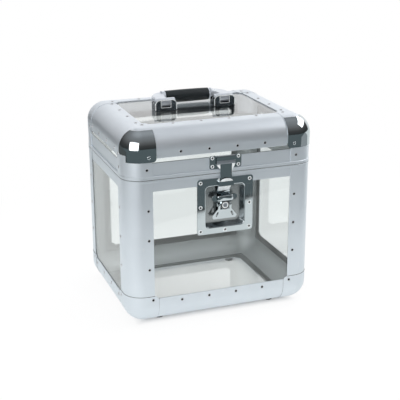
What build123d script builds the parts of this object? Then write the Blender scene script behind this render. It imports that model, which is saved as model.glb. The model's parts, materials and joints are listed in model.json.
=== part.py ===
from build123d import *
import math
import os

# Record carrying case: clear acrylic panels in a frame of rounded aluminium edge profile.
# Millimetres, +Z up, +Y to the back. The origin is on the ground, under the middle of the case.

os.makedirs("parts", exist_ok=True)

# ---- Driving dimensions -------------------------------------------------------------------

# Case, over the outer faces of its edge profiles
case_width = 365.0
case_depth = 292.0
case_height = 365.0
lid_height = 88.3
seam_gap = 0.3

# Rounded edge profile and the panels behind its flanges
edge_radius = 36.0
sheet = 1.6
flange_reach = 50.0
flange_edge_radius = 0.7
panel_thickness = 4.0
panel_edge_gap = 0.3

# Matte three-way corner pieces
corner_reach = 58.0
bottom_corner_rise = 55.0
lid_corner_drop = 51.0
corner_proud = 0.4
corner_flap_radius = 9.0
joint_gap = 0.2

# Chromed ball corners over the two front top corners
ball_gap = 0.1
ball_skin = 1.0
ball_front_reach = 57.0
ball_side_reach = 32.0
ball_drop = 55.5
ball_side_rise = 12.0
ball_step = 14.0
ball_crown_angle = 22.0
ball_flap_radius = 6.0

# Closure frames at the seam
frame_wall = 1.0
frame_inner_wall = 1.2
frame_corner_ease = 1.6
bead_proud = 0.6
bead_chamfer = 0.6
body_bead_height = 4.4
lid_bead_height = 6.4
body_band_height = 17.2
lid_band_height = 23.6
channel_floor = 2.0
tongue_inset = 3.0
tongue_width = 1.4
tongue_height = 2.0
tongue_clearance = 0.4

# Rubber feet
foot_height = 6.0
foot_radius = 8.5
foot_taper = 1.0
foot_inset_x = 70.0
foot_inset_y = 42.5
foot_recess_radius = 4.5
foot_recess_depth = 3.2

# Recessed butterfly latch; depths run inwards from the front of the dish's rim
latch_x = 4.0
latch_drop = 62.2
dish_width = 108.0
dish_height = 105.0
dish_sheet = 1.2
dish_corner_radius = 5.0
recess_width = 76.0
recess_height = 79.0
recess_shift = 1.2
recess_corner_radius = 8.0
recess_depth = 14.0
recess_draft = 18.0
recess_mouth_radius = 1.6
cutout_gap = 0.5
hood_skin = 1.0
hood_front = 6.5
hood_height = 14.8
hood_arch_height = 6.6
hood_rim = 0.3

crank_throw = 4.5
crank_pin_radius = 3.0
crank_disc_radius = 9.0
crank_disc = 1.0
crank_gap = 0.1
journal_radius = 5.0
journal_clearance = 0.05
retainer_radius = 8.0
retainer_thickness = 1.2

hub_radius = 8.5
hub_front = 0.5
hub_back = 4.3
hub_lobe_sheet = 1.7
hub_lobe_x = 19.0
hub_lobe_z = 13.5
hub_lobe_radius = 5.5
hub_web_width = 7.0
hub_screw_radius = 3.6
hub_screw_sink = 0.8
hub_ring_radius = 6.4
hub_ring_width = 0.7

wing_sheet = 1.6
wing_front = 0.8
wing_tilt = 5.0
wing_drop = 26.5
wing_tip_half_width = 24.0
wing_tip_corner = 4.5
wing_shoulder_drop = 8.0
wing_hub_gap = 0.7
wing_knuckle_length = 4.0
wing_knuckle_radius = 2.2
wing_knuckle_gap = 0.3
wing_pin_radius = 1.1
wing_pin_clearance = 0.05
wing_hole_radius = 1.8
wing_hole_length = 9.5
wing_hole_x = 14.5
wing_hole_drop = 17.5
wing_hole_tilt = 22.0

arm_thickness = 2.0
arm_half_width = 12.4
arm_foot_half_width = 14.0
arm_waist_half_width = 11.0
arm_head_half_width = 18.0
arm_foot_drop = 14.5
arm_flat_depth = 10.7
arm_front = 3.6
arm_ramp_angle = 27.5
arm_ramp_middle = 44.5
arm_hood_gap = 0.8
arm_passage_back = 11.2
arm_notch_height = 10.6
arm_slot_clearance = 1.2
arm_slot_side_clearance = 0.4
arm_shoulder_drop = 8.0
arm_waist_rise = 8.0
arm_neck_height = 3.0
arm_head_height = 15.6
arm_lip_reach = 1.2
arm_bend_radius = 1.5

keeper_rise = 20.1
keeper_width = 61.0
keeper_plate_height = 24.0
keeper_sheet = 1.2
keeper_corner_radius = 3.0
keeper_bar_rise = 9.7
keeper_notch_gap = 1.0
keeper_lip_gap = 0.3

# Surface hinges at the back
hinge_inset = 92.5
hinge_width = 50.0
hinge_knuckles = 3
hinge_knuckle_gap = 0.3
hinge_leaf = 1.2
hinge_leaf_length = 30.0
hinge_barrel_radius = 2.6
hinge_barrel_gap = 0.3
hinge_pin_radius = 1.2
hinge_pin_clearance = 0.05
hinge_pin_head = 1.0
hinge_jog = 3.0
hinge_bead_overlap = 1.0

# Folding handle on the lid
bracket_x = 59.0
bracket_front = -2.0
bracket_width = 42.5
bracket_height = 20.5
bracket_depth = 22.0
bracket_sheet = 1.5
bracket_corner_radius = 9.0
bracket_back_height = 5.4
bracket_window_width = 18.5
bracket_window_height = 13.2
bracket_window_top = 19.0
bail_height = 14.1
bail_thickness = 16.0
bail_barrel_gap = 0.5
bail_side_gap = 0.4
bail_pin_radius = 2.0
bail_pin_clearance = 0.05
bail_reach = 44.0
bail_arm_inner_x = 46.0
bail_arm_pivot_inner_x = 52.5
bail_arm_outer_x = 77.5
bail_arm_straight = 16.0
bail_arm_waist = 5.0
bail_chamfer = 2.5
grip_radius = 12.2
grip_length = 88.0
grip_core_radius = 4.0
grip_bore_clearance = 0.05
grip_crown = 0.6
ferrule_radius = 11.3
ferrule_gap = 0.2

# ---- Sizes that follow --------------------------------------------------------------------

half_width = case_width / 2
half_depth = case_depth / 2
case_bottom = foot_height
case_top = case_bottom + case_height
seam_z = case_top - lid_height

body_top = seam_z - seam_gap / 2
body_bead_low = body_top - body_bead_height
body_band_low = body_bead_low - body_band_height
lid_low = seam_z + seam_gap / 2
lid_bead_high = lid_low + lid_bead_height
lid_band_high = lid_bead_high + lid_band_height

panel_face_depth = sheet
panel_back_depth = sheet + panel_thickness
channel_face_depth = sheet + frame_wall
frame_back_depth = panel_back_depth + frame_inner_wall
panel_edge_inset = edge_radius + frame_corner_ease + panel_edge_gap
front_panel_width = case_width - 2 * panel_edge_inset
side_panel_width = case_depth - 2 * panel_edge_inset

latch_z = seam_z - latch_drop
keeper_z = seam_z + keeper_rise
arm_passage = 2 * (arm_half_width + arm_hood_gap)

front_plane = Plane.XZ.offset(half_depth - sheet)
back_plane = Plane(origin=(0, half_depth - sheet, 0), x_dir=(-1, 0, 0), z_dir=(0, 1, 0))
left_plane = Plane(origin=(-half_width + sheet, 0, 0), x_dir=(0, -1, 0), z_dir=(-1, 0, 0))
right_plane = Plane(origin=(half_width - sheet, 0, 0), x_dir=(0, 1, 0), z_dir=(1, 0, 0))


def write_piece(piece, name):
    """Label a finished piece and write it under its own name."""
    piece.label = name
    export_step(piece, f"parts/{name}.step")


# ---- Edge profiles and corner posts -------------------------------------------------------


def edge_profile(middle, inward_a, inward_b, length):
    """Quarter-round sheet with a flange along each of the two faces that meet at the edge."""
    along_a = Vector(*inward_a)
    along_b = Vector(*inward_b)
    with BuildPart() as profile:
        with BuildSketch(Plane(middle, x_dir=along_a, z_dir=along_a.cross(along_b))) as section:
            with BuildLine():
                CenterArc((edge_radius, edge_radius), edge_radius, 180, 90)
                Line((edge_radius, 0), (flange_reach, 0))
                Line((flange_reach, 0), (flange_reach, sheet))
                Line((flange_reach, sheet), (edge_radius, sheet))
                CenterArc((edge_radius, edge_radius), edge_radius - sheet, 180, 90)
                Line((sheet, edge_radius), (sheet, flange_reach))
                Line((sheet, flange_reach), (0, flange_reach))
                Line((0, flange_reach), (0, edge_radius))
            make_face()
            outer_lips = [
                section.vertices().sort_by_distance(lip)[0]
                for lip in ((flange_reach, 0), (0, flange_reach))
            ]
            fillet(outer_lips, radius=flange_edge_radius)
        extrude(amount=length / 2, both=True)
    return profile.part


def frame_edges(prefix, edge_z, inward_z):
    """The four horizontal edge profiles of the bottom or of the lid."""
    run_x = case_width - 2 * (corner_reach + joint_gap)
    run_y = case_depth - 2 * (corner_reach + joint_gap)
    sides = {
        "front": ((0, -half_depth, edge_z), (0, 1, 0), run_x),
        "back": ((0, half_depth, edge_z), (0, -1, 0), run_x),
        "left": ((-half_width, 0, edge_z), (1, 0, 0), run_y),
        "right": ((half_width, 0, edge_z), (-1, 0, 0), run_y),
    }
    for side, (middle, inward, run) in sides.items():
        write_piece(edge_profile(middle, inward, (0, 0, inward_z), run), f"{prefix}_{side}")


def upright_posts(prefix, z_low, z_high):
    """The four upright corner posts between two heights."""
    for side, sign_x in (("left", -1), ("right", 1)):
        for end, sign_y in (("front", -1), ("back", 1)):
            middle = (sign_x * half_width, sign_y * half_depth, (z_low + z_high) / 2)
            post = edge_profile(middle, (-sign_x, 0, 0), (0, -sign_y, 0), z_high - z_low)
            write_piece(post, f"{prefix}_{end}_{side}")


frame_edges("bottom_edge", case_bottom, 1)
frame_edges("lid_edge", case_top, -1)
upright_posts("corner_post", case_bottom + bottom_corner_rise + joint_gap, body_bead_low)
upright_posts("lid_post", lid_bead_high, case_top - lid_corner_drop - joint_gap)


# ---- Three-way corner pieces --------------------------------------------------------------


def rounded_corner(outer_depth, inner_depth, reach_x, reach_y, reach_z, flap_radius):
    """Hollow rounded corner whose faces meet at the origin and reach inwards along +X, +Y, +Z."""
    overrun = reach_x + reach_y + reach_z
    with BuildPart() as hollow:
        with Locations((inner_depth, inner_depth, inner_depth)):
            Box(overrun, overrun, overrun, align=(Align.MIN, Align.MIN, Align.MIN))
        inner_edges = hollow.edges().sort_by_distance((inner_depth, inner_depth, inner_depth))[:3]
        fillet(inner_edges, radius=edge_radius - inner_depth)
    with BuildPart() as corner:
        with Locations((outer_depth, outer_depth, outer_depth)):
            Box(
                reach_x - outer_depth,
                reach_y - outer_depth,
                reach_z - outer_depth,
                align=(Align.MIN, Align.MIN, Align.MIN),
            )
        outer_edges = corner.edges().sort_by_distance((outer_depth, outer_depth, outer_depth))[:3]
        fillet(outer_edges, radius=edge_radius - outer_depth)
        add(hollow.part, mode=Mode.SUBTRACT)
        skin_middle = (outer_depth + inner_depth) / 2
        flap_tips = (
            (reach_x, reach_y, skin_middle),
            (reach_x, skin_middle, reach_z),
            (skin_middle, reach_y, reach_z),
        )
        tip_edges = [corner.edges().sort_by_distance(tip)[0] for tip in flap_tips]
        fillet(tip_edges, radius=flap_radius)
    return corner.part


def corner_set(prefix, corner, origin_z, top):
    """Place a corner at the front left and mirror it to the other three uprights."""
    for side in ("left", "right"):
        for end in ("front", "back"):
            with BuildPart() as placed:
                add(corner)
                if top:
                    mirror(about=Plane.XY, mode=Mode.REPLACE)
                shifted = placed.part.moved(Location((-half_width, -half_depth, origin_z)))
                add(shifted, mode=Mode.REPLACE)
                if side == "right":
                    mirror(about=Plane.YZ, mode=Mode.REPLACE)
                if end == "back":
                    mirror(about=Plane.XZ, mode=Mode.REPLACE)
            write_piece(placed.part, f"{prefix}_{end}_{side}")


bottom_corner = rounded_corner(
    -corner_proud, sheet, corner_reach, corner_reach, bottom_corner_rise, corner_flap_radius
)
lid_corner = rounded_corner(
    -corner_proud, sheet, corner_reach, corner_reach, lid_corner_drop, corner_flap_radius
)
corner_set("bottom_corner", bottom_corner, case_bottom, False)
corner_set("lid_corner", lid_corner, case_top, True)


def ball_corner():
    """Chromed cap over a lid corner: a front lobe, a shorter side lobe and an open crown."""
    inner_depth = -corner_proud - ball_gap
    outer_depth = inner_depth - ball_skin
    crown = edge_radius * (1 - math.cos(math.radians(ball_crown_angle)))
    side_low = ball_drop - ball_side_rise
    with BuildPart() as cap:
        add(
            rounded_corner(
                outer_depth, inner_depth, ball_front_reach, corner_reach, ball_drop, ball_flap_radius
            )
        )
        with BuildSketch(Plane.YZ.offset(outer_depth)) as side_view:
            with BuildLine():
                Polyline(
                    (outer_depth, crown),
                    (ball_side_reach, crown),
                    (ball_side_reach, side_low),
                    (ball_step, side_low),
                    (ball_step, ball_drop),
                    (outer_depth, ball_drop),
                    close=True,
                )
            make_face()
            lobe_tip = side_view.vertices().sort_by_distance((ball_side_reach, side_low))[0]
            fillet(lobe_tip, radius=ball_flap_radius)
        extrude(amount=ball_front_reach - outer_depth, mode=Mode.INTERSECT)
    return cap.part


ball_form = ball_corner()
for ball_side in ("left", "right"):
    with BuildPart() as ball:
        add(ball_form)
        mirror(about=Plane.XY, mode=Mode.REPLACE)
        add(ball.part.moved(Location((-half_width, -half_depth, case_top))), mode=Mode.REPLACE)
        if ball_side == "right":
            mirror(about=Plane.YZ, mode=Mode.REPLACE)
    write_piece(ball.part, f"ball_corner_{ball_side}")


# ---- Closure frames -----------------------------------------------------------------------


def frame_ring(outer_depth, inner_depth, z_low, z_high, ease):
    """Closed ring that follows the case's plan between two depths below its faces."""
    with BuildPart() as ring:
        with BuildSketch(Plane.XY.offset(z_low)):
            for depth, mode in ((outer_depth, Mode.ADD), (inner_depth, Mode.SUBTRACT)):
                RectangleRounded(
                    case_width - 2 * depth,
                    case_depth - 2 * depth,
                    edge_radius - depth + ease,
                    mode=mode,
                )
        extrude(amount=z_high - z_low)
    return ring.part


def bead_ring(z_low, z_high):
    """The bead that stands proud of the case at the seam, with eased outer edges."""
    with BuildPart() as bead:
        add(frame_ring(-bead_proud, channel_face_depth, z_low, z_high, 0))
        outer_wall = bead.faces().filter_by(Axis.Y).sort_by(Axis.Y)[0]
        rims = outer_wall.edges().filter_by(Axis.X)
        chamfer(rims, length=bead_chamfer)
    return bead.part


with BuildPart() as body_frame:
    add(frame_ring(sheet, frame_back_depth, body_band_low, body_top, frame_corner_ease))
    add(bead_ring(body_bead_low, body_top))
    add(
        frame_ring(
            channel_face_depth,
            panel_back_depth,
            body_band_low,
            body_bead_low - channel_floor,
            frame_corner_ease,
        ),
        mode=Mode.SUBTRACT,
    )
    add(
        frame_ring(
            tongue_inset,
            tongue_inset + tongue_width,
            body_top,
            body_top + tongue_height,
            frame_corner_ease,
        )
    )
    with BuildSketch(front_plane):
        with Locations((latch_x, body_band_low)):
            Rectangle(arm_passage, arm_notch_height, align=(Align.CENTER, Align.MIN))
    extrude(amount=-frame_back_depth, mode=Mode.SUBTRACT)
write_piece(body_frame.part, "body_closure_frame")

with BuildPart() as lid_frame:
    add(frame_ring(sheet, frame_back_depth, lid_low, lid_band_high, frame_corner_ease))
    add(bead_ring(lid_low, lid_bead_high))
    add(
        frame_ring(
            channel_face_depth,
            panel_back_depth,
            lid_bead_high + channel_floor,
            lid_band_high,
            frame_corner_ease,
        ),
        mode=Mode.SUBTRACT,
    )
    add(
        frame_ring(
            tongue_inset - tongue_clearance,
            tongue_inset + tongue_width + tongue_clearance,
            lid_low,
            body_top + tongue_height + tongue_clearance,
            frame_corner_ease,
        ),
        mode=Mode.SUBTRACT,
    )
write_piece(lid_frame.part, "lid_closure_frame")


# ---- Clear panels -------------------------------------------------------------------------


def upright_panel(outer_plane, width, z_low, z_high, tongue_low, tongue_high):
    """Clear panel whose framed edge is cut back on the outside to a tongue for the channel."""
    with BuildPart() as panel:
        with BuildSketch(outer_plane):
            with Locations((0, (z_low + z_high) / 2)):
                Rectangle(width, z_high - z_low)
        extrude(amount=-panel_thickness)
        with BuildSketch(outer_plane):
            with Locations((0, (tongue_low + tongue_high) / 2)):
                Rectangle(width, tongue_high - tongue_low)
        extrude(amount=-frame_wall, mode=Mode.SUBTRACT)
    return panel.part


def body_panel(outer_plane, width):
    """Body panel, from the bottom edge profile up into the body frame's channel."""
    panel_low = case_bottom + panel_edge_inset
    panel_high = body_bead_low - channel_floor - panel_edge_gap
    return upright_panel(outer_plane, width, panel_low, panel_high, body_band_low, panel_high)


def lid_panel(outer_plane, width):
    """Lid strip, from the lid frame's channel up to the top edge profile."""
    panel_low = lid_bead_high + channel_floor + panel_edge_gap
    panel_high = case_top - panel_edge_inset
    return upright_panel(outer_plane, width, panel_low, panel_high, panel_low, lid_band_high)


def level_panel(outer_z, direction):
    """Floor or top panel, its outer face at a height and its thickness going inwards."""
    with BuildPart() as panel:
        with BuildSketch(Plane.XY.offset(outer_z)):
            Rectangle(front_panel_width, side_panel_width)
        extrude(amount=direction * panel_thickness)
    return panel.part


panel_sides = {
    "back": (back_plane, front_panel_width),
    "left": (left_plane, side_panel_width),
    "right": (right_plane, side_panel_width),
}
for panel_side, (panel_plane, panel_width) in panel_sides.items():
    write_piece(body_panel(panel_plane, panel_width), f"body_panel_{panel_side}")
    write_piece(lid_panel(panel_plane, panel_width), f"lid_panel_{panel_side}")
write_piece(lid_panel(front_plane, front_panel_width), "lid_panel_front")
write_piece(level_panel(case_top - sheet, -1), "lid_panel_top")
write_piece(level_panel(case_bottom + sheet, 1), "floor_panel")

cutout_margin = 2 * (dish_sheet + cutout_gap)
with BuildPart() as front_panel:
    add(body_panel(front_plane, front_panel_width))
    with BuildSketch(front_plane):
        with Locations((latch_x, latch_z - recess_shift)):
            RectangleRounded(
                recess_width + cutout_margin, recess_height + cutout_margin, recess_corner_radius
            )
        with Locations((latch_x, latch_z)):
            Rectangle(arm_passage, case_height, align=(Align.CENTER, Align.MIN))
    extrude(amount=-panel_thickness, mode=Mode.SUBTRACT)
write_piece(front_panel.part, "body_panel_front")


# ---- Feet ---------------------------------------------------------------------------------

with BuildPart() as feet:
    with GridLocations(2 * (half_width - foot_inset_x), 2 * (half_depth - foot_inset_y), 2, 2):
        from_ground = (Align.CENTER, Align.CENTER, Align.MIN)
        Cone(foot_radius - foot_taper, foot_radius, foot_height, align=from_ground)
        Cylinder(foot_recess_radius, foot_recess_depth, align=from_ground, mode=Mode.SUBTRACT)
write_piece(feet.part, "feet")


# ---- Latch --------------------------------------------------------------------------------

dish_front = half_depth - sheet + dish_sheet


def latch_plane(depth):
    """Plane facing the front at a depth below the front of the dish's rim."""
    return Plane(
        origin=(latch_x, -dish_front + depth, latch_z), x_dir=(1, 0, 0), z_dir=(0, -1, 0)
    )


def latch_disc(radius, front, back, drop=0.0):
    """Round solid square to the front between two depths, a drop below the latch's axis."""
    with BuildPart() as disc:
        with BuildSketch(latch_plane(front)):
            with Locations((0, -drop)):
                Circle(radius)
        extrude(amount=front - back)
    return disc.part


hood_half_width = arm_passage / 2 + hood_skin
hood_low = recess_height / 2 - recess_shift
hood_inner_depth = -(hood_front - hood_skin)
with BuildPart() as dish:
    with BuildSketch(latch_plane(0)):
        RectangleRounded(dish_width, dish_height, dish_corner_radius)
    extrude(amount=-dish_sheet)
    with BuildSketch(latch_plane(0)):
        with Locations((0, -recess_shift)):
            RectangleRounded(
                recess_width + 2 * dish_sheet,
                recess_height + 2 * dish_sheet,
                recess_corner_radius + dish_sheet,
            )
    extrude(amount=-(recess_depth + dish_sheet), taper=recess_draft)
    with BuildSketch(latch_plane(0)):
        with Locations((0, -recess_shift)):
            RectangleRounded(recess_width, recess_height, recess_corner_radius)
    extrude(amount=-recess_depth, taper=recess_draft, mode=Mode.SUBTRACT)
    rim_face = dish.faces().filter_by(Axis.Y).sort_by(Axis.Y)[0]
    fillet(rim_face.inner_wires()[0].edges(), radius=recess_mouth_radius)
    with BuildSketch(latch_plane(0)):
        with BuildLine():
            Polyline(
                (hood_half_width, hood_low + hood_height - hood_arch_height),
                (hood_half_width, hood_low),
                (-hood_half_width, hood_low),
                (-hood_half_width, hood_low + hood_height - hood_arch_height),
            )
            ThreePointArc(
                (-hood_half_width, hood_low + hood_height - hood_arch_height),
                (0, hood_low + hood_height),
                (hood_half_width, hood_low + hood_height - hood_arch_height),
            )
        make_face()
    extrude(amount=hood_front)
    with BuildSketch(Plane.YZ.offset(latch_x)):
        facet_low_z = latch_z + hood_low + hood_height - hood_arch_height
        facet_high_z = latch_z + hood_low + hood_height
        facet_front_y = -dish_front - hood_front
        with BuildLine():
            Polyline(
                (facet_front_y, facet_low_z),
                (-dish_front + hood_inner_depth - hood_rim, facet_high_z),
                (facet_front_y, facet_high_z),
                close=True,
            )
        make_face()
    extrude(amount=hood_half_width, both=True, mode=Mode.SUBTRACT)
    with BuildSketch(latch_plane(hood_inner_depth)):
        Rectangle(arm_passage, dish_height, align=(Align.CENTER, Align.MIN))
    extrude(amount=hood_inner_depth - arm_passage_back, mode=Mode.SUBTRACT)
    add(latch_disc(journal_radius + journal_clearance, 0, 2 * recess_depth), mode=Mode.SUBTRACT)
write_piece(dish.part, "latch_dish")

crank_disc_front = recess_depth - crank_gap - crank_disc
retainer_front = recess_depth + dish_sheet + crank_gap
retainer_back = retainer_front + retainer_thickness
with BuildPart() as crank:
    add(latch_disc(crank_disc_radius, crank_disc_front, crank_disc_front + crank_disc))
    add(latch_disc(journal_radius, crank_disc_front, retainer_back))
    add(latch_disc(crank_pin_radius, hub_back, crank_disc_front, crank_throw))
write_piece(crank.part, "latch_crank")

with BuildPart() as retainer:
    add(latch_disc(retainer_radius, retainer_front, retainer_back))
    add(
        latch_disc(journal_radius + journal_clearance, retainer_front, retainer_back),
        mode=Mode.SUBTRACT,
    )
write_piece(retainer.part, "latch_retainer")

wing_pin_depth = wing_front + wing_sheet / 2
knuckle_inner_x = hub_radius + wing_knuckle_gap
knuckle_outer_x = knuckle_inner_x + wing_knuckle_length


def cross_rod(radius, x_low, x_high):
    """Rod along X on the wing's pin axis."""
    with BuildPart() as rod:
        with BuildSketch(Plane.YZ.offset(latch_x + x_low)):
            with Locations((-dish_front + wing_pin_depth, latch_z)):
                Circle(radius)
        extrude(amount=x_high - x_low)
    return rod.part


with BuildPart() as hub:
    add(latch_disc(hub_radius, -hub_front, hub_back))
    with BuildSketch(latch_plane(hub_back)):
        for lobe_side in (-1, 1):
            with Locations((lobe_side * hub_lobe_x, hub_lobe_z)):
                Circle(hub_lobe_radius)
            with BuildLine():
                web = Line((0, 0), (lobe_side * hub_lobe_x, hub_lobe_z))
            trace(web, line_width=hub_web_width)
    extrude(amount=hub_lobe_sheet)
    with BuildSketch(latch_plane(-hub_front)):
        Circle(hub_ring_radius)
        Circle(hub_ring_radius - hub_ring_width, mode=Mode.SUBTRACT)
        Circle(hub_screw_radius + hub_ring_width / 2)
    extrude(amount=-hub_screw_sink, mode=Mode.SUBTRACT)
    add(
        cross_rod(wing_pin_radius + wing_pin_clearance, -2 * hub_radius, 2 * hub_radius),
        mode=Mode.SUBTRACT,
    )
write_piece(hub.part, "latch_hub")

with BuildPart() as hub_screw:
    with BuildSketch(latch_plane(-hub_front + hub_screw_sink)):
        Circle(hub_screw_radius)
    extrude(amount=hub_screw_sink)
    screw_rim = hub_screw.faces().sort_by(Axis.Y)[0].edges()
    chamfer(screw_rim, length=hub_screw_sink / 2)
write_piece(hub_screw.part, "latch_hub_screw")

with BuildPart() as wing:
    with BuildSketch(latch_plane(wing_front).rotated((wing_tilt, 0, 0))) as wing_outline:
        with BuildLine():
            Polyline(
                (knuckle_outer_x, 0),
                (knuckle_outer_x, -wing_shoulder_drop),
                (wing_tip_half_width, wing_tip_corner - wing_drop),
                (wing_tip_half_width - wing_tip_corner / 2, -wing_drop),
                (-wing_tip_half_width + wing_tip_corner / 2, -wing_drop),
                (-wing_tip_half_width, wing_tip_corner - wing_drop),
                (-knuckle_outer_x, -wing_shoulder_drop),
                (-knuckle_outer_x, 0),
                close=True,
            )
        make_face()
        tip_rows = wing_outline.vertices().group_by(Axis.Y)[:2]
        fillet(tip_rows[0] + tip_rows[1], radius=wing_tip_corner / 2)
        Circle(hub_radius + wing_hub_gap, mode=Mode.SUBTRACT)
        for hole_side in (-1, 1):
            with Locations(
                Location((hole_side * wing_hole_x, -wing_hole_drop), 90 + hole_side * wing_hole_tilt)
            ):
                SlotOverall(wing_hole_length, 2 * wing_hole_radius, mode=Mode.SUBTRACT)
    extrude(amount=-wing_sheet)
    for knuckle_low in (-knuckle_outer_x, knuckle_inner_x):
        add(cross_rod(wing_knuckle_radius, knuckle_low, knuckle_low + wing_knuckle_length))
    with BuildSketch(latch_plane(wing_front - wing_knuckle_radius)):
        Rectangle(2 * knuckle_inner_x, 2 * hub_radius)
    extrude(amount=-3 * wing_knuckle_radius, mode=Mode.SUBTRACT)
    add(
        cross_rod(wing_pin_radius + wing_pin_clearance, -knuckle_outer_x, knuckle_outer_x),
        mode=Mode.SUBTRACT,
    )
write_piece(wing.part, "latch_wing")

with BuildPart() as wing_pin:
    add(cross_rod(wing_pin_radius, -knuckle_outer_x, knuckle_outer_x))
write_piece(wing_pin.part, "latch_wing_pin")

# The arm runs flat behind the wing, ramps out under the hood and ends in the T-head.
keeper_bar_top = keeper_z + keeper_bar_rise
arm_lip_z = keeper_bar_top + keeper_lip_gap + arm_thickness / 2
ramp_slope = math.tan(math.radians(arm_ramp_angle))
flat_mid = arm_flat_depth + arm_thickness / 2
upper_mid = -arm_front + arm_thickness / 2
ramp_low = latch_z + arm_ramp_middle - flat_mid / ramp_slope
ramp_high = latch_z + arm_ramp_middle - upper_mid / ramp_slope
arm_head_low = arm_lip_z + arm_thickness / 2 - arm_head_height
arm_path = (
    (-dish_front + flat_mid, latch_z - arm_foot_drop),
    (-dish_front + flat_mid, ramp_low),
    (-dish_front + upper_mid, ramp_high),
    (-dish_front + upper_mid, arm_lip_z),
    (-dish_front + upper_mid + arm_thickness / 2 + arm_lip_reach, arm_lip_z),
)
with BuildPart() as hook_arm:
    with BuildSketch(Plane.XZ):
        with BuildLine():
            right_side = Polyline(
                (latch_x, latch_z - 2 * arm_foot_drop),
                (latch_x + arm_foot_half_width, latch_z - 2 * arm_foot_drop),
                (latch_x + arm_foot_half_width, ramp_low - arm_shoulder_drop),
                (latch_x + arm_half_width, ramp_low - arm_shoulder_drop / 2),
                (latch_x + arm_half_width, ramp_high),
                (latch_x + arm_waist_half_width, ramp_high + arm_waist_rise),
                (latch_x + arm_waist_half_width, arm_head_low - arm_neck_height),
                (latch_x + arm_head_half_width, arm_head_low),
                (latch_x + arm_head_half_width, arm_lip_z + arm_thickness),
                (latch_x, arm_lip_z + arm_thickness),
            )
            mirror(right_side, about=Plane.YZ.offset(latch_x))
        make_face()
    extrude(amount=case_depth)
    with BuildSketch(Plane.YZ.offset(latch_x)) as arm_side:
        with BuildLine() as arm_line:
            FilletPolyline(*arm_path, radius=arm_bend_radius)
        trace(arm_line.line, line_width=arm_thickness)
    extrude(amount=case_width / 2, both=True, mode=Mode.INTERSECT)
    slot_width = 2 * (crank_throw + crank_pin_radius + arm_slot_side_clearance)
    slot_height = 2 * (crank_pin_radius + arm_slot_clearance)
    with BuildSketch(latch_plane(arm_flat_depth)):
        with Locations((0, -crank_throw)):
            SlotOverall(slot_width, slot_height)
    extrude(amount=-arm_thickness, mode=Mode.SUBTRACT)
write_piece(hook_arm.part, "latch_hook")

# ---- Keeper on the lid --------------------------------------------------------------------

with BuildPart() as keeper:
    with BuildSketch(front_plane):
        with Locations((latch_x, keeper_z)):
            RectangleRounded(keeper_width, keeper_plate_height, keeper_corner_radius)
        with Locations((latch_x, keeper_bar_top)):
            Rectangle(
                2 * (arm_head_half_width + keeper_notch_gap),
                keeper_plate_height,
                align=(Align.CENTER, Align.MIN),
                mode=Mode.SUBTRACT,
            )
    extrude(amount=keeper_sheet)
write_piece(keeper.part, "latch_keeper")


# ---- Hinges -------------------------------------------------------------------------------

bead_face_y = half_depth + bead_proud
hinge_axis_y = bead_face_y + hinge_barrel_gap + hinge_barrel_radius
knuckle_pitch = hinge_width / hinge_knuckles


def barrel_rod(centre_x, radius, length):
    """Rod along X on the hinge axis."""
    with BuildPart() as rod:
        with BuildSketch(Plane.YZ.offset(centre_x)):
            with Locations((hinge_axis_y, seam_z)):
                Circle(radius)
        extrude(amount=length / 2, both=True)
    return rod.part


def hinge_leaf_piece(centre_x, upward, bead_end, first_knuckle):
    """Leaf that lies on the bead, steps in to the panel's face and carries every second knuckle."""
    on_bead_y = bead_face_y + hinge_leaf / 2
    on_panel_y = half_depth - sheet + hinge_leaf / 2
    step_z = bead_end + upward * hinge_bead_overlap
    leaf_end_z = seam_z + upward * hinge_leaf_length
    with BuildPart() as leaf:
        with BuildSketch(Plane.YZ.offset(centre_x)):
            with BuildLine() as leaf_line:
                Polyline(
                    (on_bead_y, seam_z),
                    (on_bead_y, step_z),
                    (on_panel_y, step_z + upward * hinge_jog),
                    (on_panel_y, leaf_end_z),
                )
            trace(leaf_line.line, line_width=hinge_leaf)
        extrude(amount=hinge_width / 2, both=True)
        for index in range(hinge_knuckles):
            knuckle_x = centre_x + (index + 0.5) * knuckle_pitch - hinge_width / 2
            if index % 2 == first_knuckle:
                add(barrel_rod(knuckle_x, hinge_barrel_radius, knuckle_pitch - hinge_knuckle_gap))
            else:
                with Locations((knuckle_x, hinge_axis_y, seam_z)):
                    Box(
                        knuckle_pitch + hinge_knuckle_gap,
                        2 * (hinge_barrel_radius + 2 * hinge_barrel_gap),
                        2 * (hinge_barrel_radius + hinge_barrel_gap),
                        mode=Mode.SUBTRACT,
                    )
        add(
            barrel_rod(centre_x, hinge_pin_radius + hinge_pin_clearance, 2 * hinge_width),
            mode=Mode.SUBTRACT,
        )
    return leaf.part


for hinge_side, hinge_sign in (("left", -1), ("right", 1)):
    hinge_centre = hinge_sign * (half_width - hinge_inset)
    write_piece(hinge_leaf_piece(hinge_centre, -1, body_bead_low, 0), f"hinge_body_leaf_{hinge_side}")
    write_piece(hinge_leaf_piece(hinge_centre, 1, lid_bead_high, 1), f"hinge_lid_leaf_{hinge_side}")
    with BuildPart() as hinge_pin:
        add(barrel_rod(hinge_centre, hinge_pin_radius, hinge_width))
        for pin_end in (-1, 1):
            head_x = hinge_centre + pin_end * (hinge_width + hinge_pin_head) / 2
            add(barrel_rod(head_x, hinge_barrel_radius, hinge_pin_head))
    write_piece(hinge_pin.part, f"hinge_pin_{hinge_side}")


# ---- Folding handle -----------------------------------------------------------------------

top_z = case_top - sheet
bracket_back = bracket_front + bracket_depth
bail_barrel_radius = bail_thickness / 2
bail_axis_y = bracket_front + bracket_sheet + bail_barrel_gap + bail_barrel_radius
bail_axis_z = top_z + bail_height
grip_y = bail_axis_y + bail_reach
bracket_inner_width = bracket_width - 2 * bracket_sheet


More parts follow.
